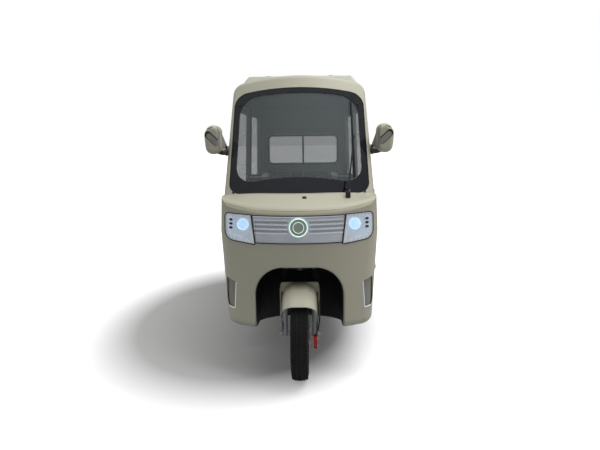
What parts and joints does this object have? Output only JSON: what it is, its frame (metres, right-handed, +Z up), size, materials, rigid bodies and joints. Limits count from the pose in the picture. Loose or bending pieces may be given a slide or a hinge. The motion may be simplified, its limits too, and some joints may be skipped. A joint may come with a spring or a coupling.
{
  "type": "enclosed electric tuk-tuk",
  "caption": "Enclosed three-wheeled electric passenger vehicle with a steered front wheel, hinged side doors, hollow glazed cab and separate lamps, glass, seats, axle and chassis.",
  "frame": {"origin": "on the ground under the centre of the vehicle's box", "axes": "+Z up, -Y forwards, +X the side with the front brake caliper"},
  "size_m": [1.2004, 2.6, 1.834],
  "materials": {
    "body_paint": "gloss coat over khaki-cream paint",
    "roof_paint": "gloss paint",
    "chassis_steel": "black chassis paint",
    "black_plastic": "satin moulded black",
    "grey_plastic": "matte mid grey",
    "floor_mat": "ribbed rubber mat",
    "clear_glass": "lightly tinted laminated glass",
    "tinted_glass": "dark tint",
    "glass_border": "black ceramic border",
    "lamp_shell": "bright reflector",
    "lamp_cover": "clear moulded cover",
    "light_core": "pale projector glass",
    "grille_silver": "silver satin panel",
    "mirror_glass": "mirror",
    "seat_cover": "black seat vinyl",
    "tail_red": "red lens",
    "steel": "zinc plated",
    "wheel_silver": "painted silver",
    "tyre": "black rubber",
    "caliper_red": "red anodised",
    "battery_grey": "grey case",
    "display": "black glass face"
  },
  "bodies": {
    "root": {"chassis_frame": "chassis_steel", "floor_pan": "floor_mat", "wheel_boxes": "black_plastic", "front_fascia": "body_paint", "wheel_well_liner": "black_plastic", "windscreen_frame": "body_paint", "roof_panel": "roof_paint", "side_panel_left": "body_paint", "side_panel_right": "body_paint", "rear_panel": "body_paint", "windscreen_glass": "clear_glass", "windscreen_border": "glass_border", "wiper": "black_plastic", "headlamp_left": "lamp_shell", "headlamp_right": "lamp_shell", "lamp_lenses": "lamp_cover", "front_lights": "light_core", "grille_panel": "grille_silver", "vent_inserts": "grey_plastic", "mirror_left": "body_paint", "mirror_right": "body_paint", "mirror_glasses": "mirror_glass", "dashboard": "black_plastic", "instrument_display": "display", "driver_seat_base": "black_plastic", "driver_seat_cushion": "seat_cover", "driver_seat_backrest": "seat_cover", "rear_bench_cushion": "seat_cover", "rear_bench_backrest": "seat_cover", "quarter_glass": "tinted_glass", "rear_glass": "clear_glass", "rear_window_seal": "black_plastic", "tail_lamps": "tail_red", "rear_bumper": "black_plastic", "rear_axle": "chassis_steel", "leaf_springs": "chassis_steel", "battery_box": "battery_grey"},
    "steering": {"fork": "steel", "handlebar": "black_plastic", "grips": "black_plastic", "switchgear": "grey_plastic", "front_fender": "body_paint", "brake_caliper": "caliper_red"},
    "front_wheel": {"front_tyre": "tyre", "front_rim": "wheel_silver"},
    "rear_wheel_left": {"rear_tyre_left": "tyre", "rear_rim_left": "wheel_silver"},
    "door_left": {"door_panel_left": "body_paint", "door_glass_left": "tinted_glass", "door_handle_left": "black_plastic"},
    "rear_wheel_right": {"rear_tyre_right": "tyre", "rear_rim_right": "wheel_silver"},
    "door_right": {"door_panel_right": "body_paint", "door_glass_right": "tinted_glass", "door_handle_right": "black_plastic"}
  },
  "joints": [
    {"name": "steering", "type": "hinge", "parent": "root", "child": "steering", "pos_m": [0, -1.0105, 0.2475], "axis": [0, 0.342, 0.9397], "range_deg": [-35, 35]},
    {"name": "front_wheel_spin", "type": "hinge", "parent": "steering", "child": "front_wheel", "pos_m": [0, -1.0525, 0.2475], "axis": [1, 0, 0], "continuous": true},
    {"name": "rear_wheel_left_spin", "type": "hinge", "parent": "root", "child": "rear_wheel_left", "pos_m": [-0.45, 0.8975, 0.2475], "axis": [1, 0, 0], "continuous": true},
    {"name": "rear_wheel_right_spin", "type": "hinge", "parent": "root", "child": "rear_wheel_right", "pos_m": [0.45, 0.8975, 0.2475], "axis": [1, 0, 0], "continuous": true},
    {"name": "door_left_hinge", "type": "hinge", "parent": "root", "child": "door_left", "pos_m": [-0.473, -0.71, 0.78], "axis": [0, 0, 1], "range_deg": [0, 62]},
    {"name": "door_right_hinge", "type": "hinge", "parent": "root", "child": "door_right", "pos_m": [0.473, -0.71, 0.78], "axis": [0, 0, -1], "range_deg": [0, 62]}
  ]
}
